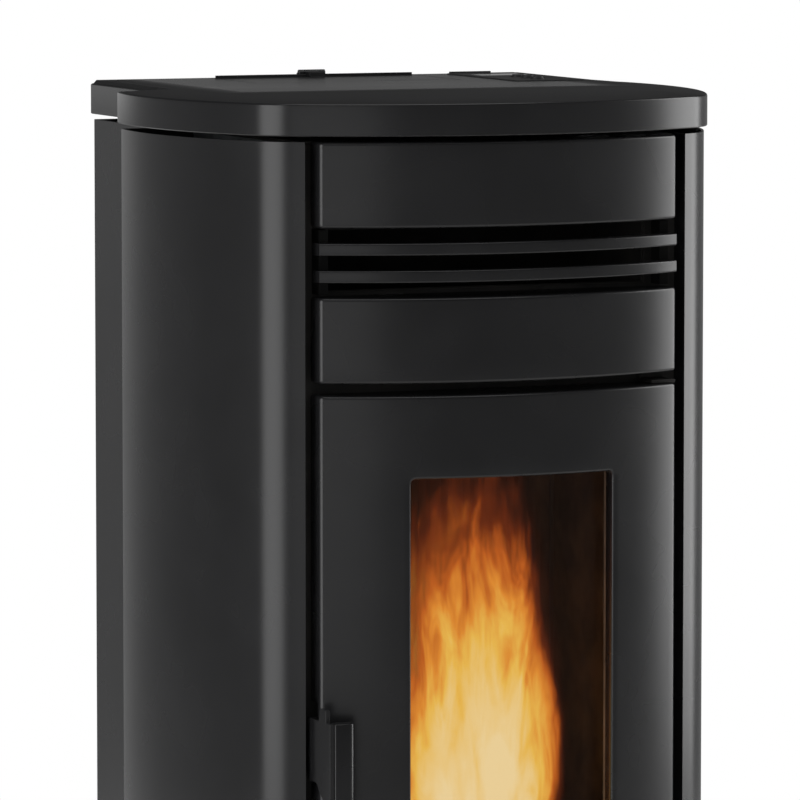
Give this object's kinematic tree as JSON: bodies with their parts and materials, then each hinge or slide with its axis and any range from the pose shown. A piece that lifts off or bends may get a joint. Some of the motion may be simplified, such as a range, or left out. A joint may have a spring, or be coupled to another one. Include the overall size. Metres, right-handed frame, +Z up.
{
  "type": "pellet stove",
  "caption": "Free-standing pellet stove with a barrel-shaped steel body, window door, warm-air louvre, top hopper lid, ash drawer and rear flue outlet.",
  "frame": {"origin": "centre of the bounding box in X and Y, on the floor under the feet", "axes": "+X to the stove's right as seen from the front, +Y to its back, +Z up"},
  "size_m": [0.5134, 0.54, 1.1093],
  "materials": {
    "black_paint": "satin black heat-resistant paint",
    "dark_steel": "matt black heat-resistant paint",
    "cast_iron": "cast, sooted",
    "zinc_steel": "zinc-coated sheet",
    "rope_seal": "woven glass-fibre rope",
    "stove_glass": "clear glass-ceramic",
    "baffle_board": "pressed vermiculite",
    "black_plastic": "fine-grained black plastic",
    "display": "glossy dark window",
    "circuit_board": "green laminate"
  },
  "bodies": {
    "root": {"top_cover": "black_paint", "left_side_panel": "black_paint", "right_side_panel": "black_paint", "rear_casing": "black_paint", "upper_front_panel": "black_paint", "louvre": "black_paint", "middle_front_panel": "black_paint", "chassis_base": "black_paint", "hinge_bracket_lower": "dark_steel", "hinge_bracket_upper": "dark_steel", "latch_keeper": "dark_steel", "chassis_front_plate": "dark_steel", "top_frame": "dark_steel", "firebox": "dark_steel", "feed_tube": "dark_steel", "smoke_duct": "dark_steel", "flue_spigot": "dark_steel", "firebox_back_plate": "cast_iron", "burner_support": "cast_iron", "lid_hinge_pin": "zinc_steel", "chassis_left_side": "zinc_steel", "chassis_right_side": "zinc_steel", "igniter": "zinc_steel", "air_duct": "zinc_steel", "hopper": "zinc_steel", "hopper_grid": "zinc_steel", "gearmotor": "zinc_steel", "room_fan_housing": "zinc_steel", "smoke_fan_housing": "zinc_steel", "air_intake": "zinc_steel", "lid_seal": "rope_seal", "baffle": "baffle_board", "control_panel": "black_plastic", "mains_inlet": "black_plastic", "display_window": "display", "control_board": "circuit_board"},
    "door": {"door_skin": "black_paint", "door_frame": "cast_iron", "door_glass": "stove_glass", "glass_seal": "rope_seal", "glass_retainer": "dark_steel", "door_seal": "rope_seal", "handle_pin": "zinc_steel"},
    "handle": {"handle_bar": "black_paint", "handle_lever": "dark_steel"},
    "lid": {"hopper_lid": "black_paint"},
    "ash_drawer": {"ash_drawer_front": "black_paint", "ash_pan": "zinc_steel"},
    "burner_pot": {"burner_pot": "cast_iron"},
    "feed_screw": {"feed_screw": "zinc_steel"},
    "room_fan": {"room_fan_rotor": "zinc_steel"},
    "smoke_fan": {"smoke_fan_rotor": "zinc_steel"},
    "rocker": {"rocker_switch": "black_plastic"},
    "button_1": {"control_button_1": "black_plastic"},
    "button_2": {"control_button_2": "black_plastic"},
    "button_3": {"control_button_3": "black_plastic"},
    "foot_1": {"levelling_foot_1": "dark_steel"},
    "foot_2": {"levelling_foot_2": "dark_steel"},
    "foot_3": {"levelling_foot_3": "dark_steel"},
    "foot_4": {"levelling_foot_4": "dark_steel"}
  },
  "joints": [
    {"name": "door_hinge", "type": "hinge", "parent": "root", "child": "door", "pos_m": [0.157, -0.216, 0.57], "axis": [0, 0, 1], "range_deg": [0, 100]},
    {"name": "handle_turn", "type": "hinge", "parent": "door", "child": "handle", "pos_m": [-0.158, -0.214, 0.5465], "axis": [0, 0, -1], "range_deg": [0, 18]},
    {"name": "lid_hinge", "type": "hinge", "parent": "root", "child": "lid", "pos_m": [0, 0.213, 1.1063], "axis": [-1, 0, 0], "range_deg": [0, 85]},
    {"name": "drawer_slide", "type": "slide", "parent": "root", "child": "ash_drawer", "axis": [0, -1, 0], "range_m": [0, 0.2]},
    {"name": "pot_lift", "type": "slide", "parent": "root", "child": "burner_pot", "axis": [0, 0, 1], "range_m": [0, 0.06]},
    {"name": "feed_screw_turn", "type": "hinge", "parent": "root", "child": "feed_screw", "pos_m": [0, 0.13, 0.38], "axis": [0, -0.5736, 0.8192], "continuous": true},
    {"name": "room_fan_turn", "type": "hinge", "parent": "root", "child": "room_fan", "pos_m": [-0.085, 0.15, 0.112], "axis": [1, 0, 0], "continuous": true},
    {"name": "smoke_fan_turn", "type": "hinge", "parent": "root", "child": "smoke_fan", "pos_m": [0.105, 0.13, 0.215], "axis": [1, 0, 0], "continuous": true},
    {"name": "rocker_turn", "type": "hinge", "parent": "root", "child": "rocker", "pos_m": [-0.15, 0.216, 0.292], "axis": [1, 0, 0], "range_deg": [-8, 8]},
    {"name": "button_1_press", "type": "slide", "parent": "root", "child": "button_1", "axis": [0, 0, -1], "range_m": [0, 0.001], "stiffness_N_per_m": 300, "springref_m": -0.001},
    {"name": "button_2_press", "type": "slide", "parent": "root", "child": "button_2", "axis": [0, 0, -1], "range_m": [0, 0.001], "stiffness_N_per_m": 300, "springref_m": -0.001},
    {"name": "button_3_press", "type": "slide", "parent": "root", "child": "button_3", "axis": [0, 0, -1], "range_m": [0, 0.001], "stiffness_N_per_m": 300, "springref_m": -0.001},
    {"name": "foot_1_screw", "type": "slide", "parent": "root", "child": "foot_1", "axis": [0, 0, -1], "range_m": [0, 0.012]},
    {"name": "foot_2_screw", "type": "slide", "parent": "root", "child": "foot_2", "axis": [0, 0, -1], "range_m": [0, 0.012]},
    {"name": "foot_3_screw", "type": "slide", "parent": "root", "child": "foot_3", "axis": [0, 0, -1], "range_m": [0, 0.012]},
    {"name": "foot_4_screw", "type": "slide", "parent": "root", "child": "foot_4", "axis": [0, 0, -1], "range_m": [0, 0.012]}
  ]
}
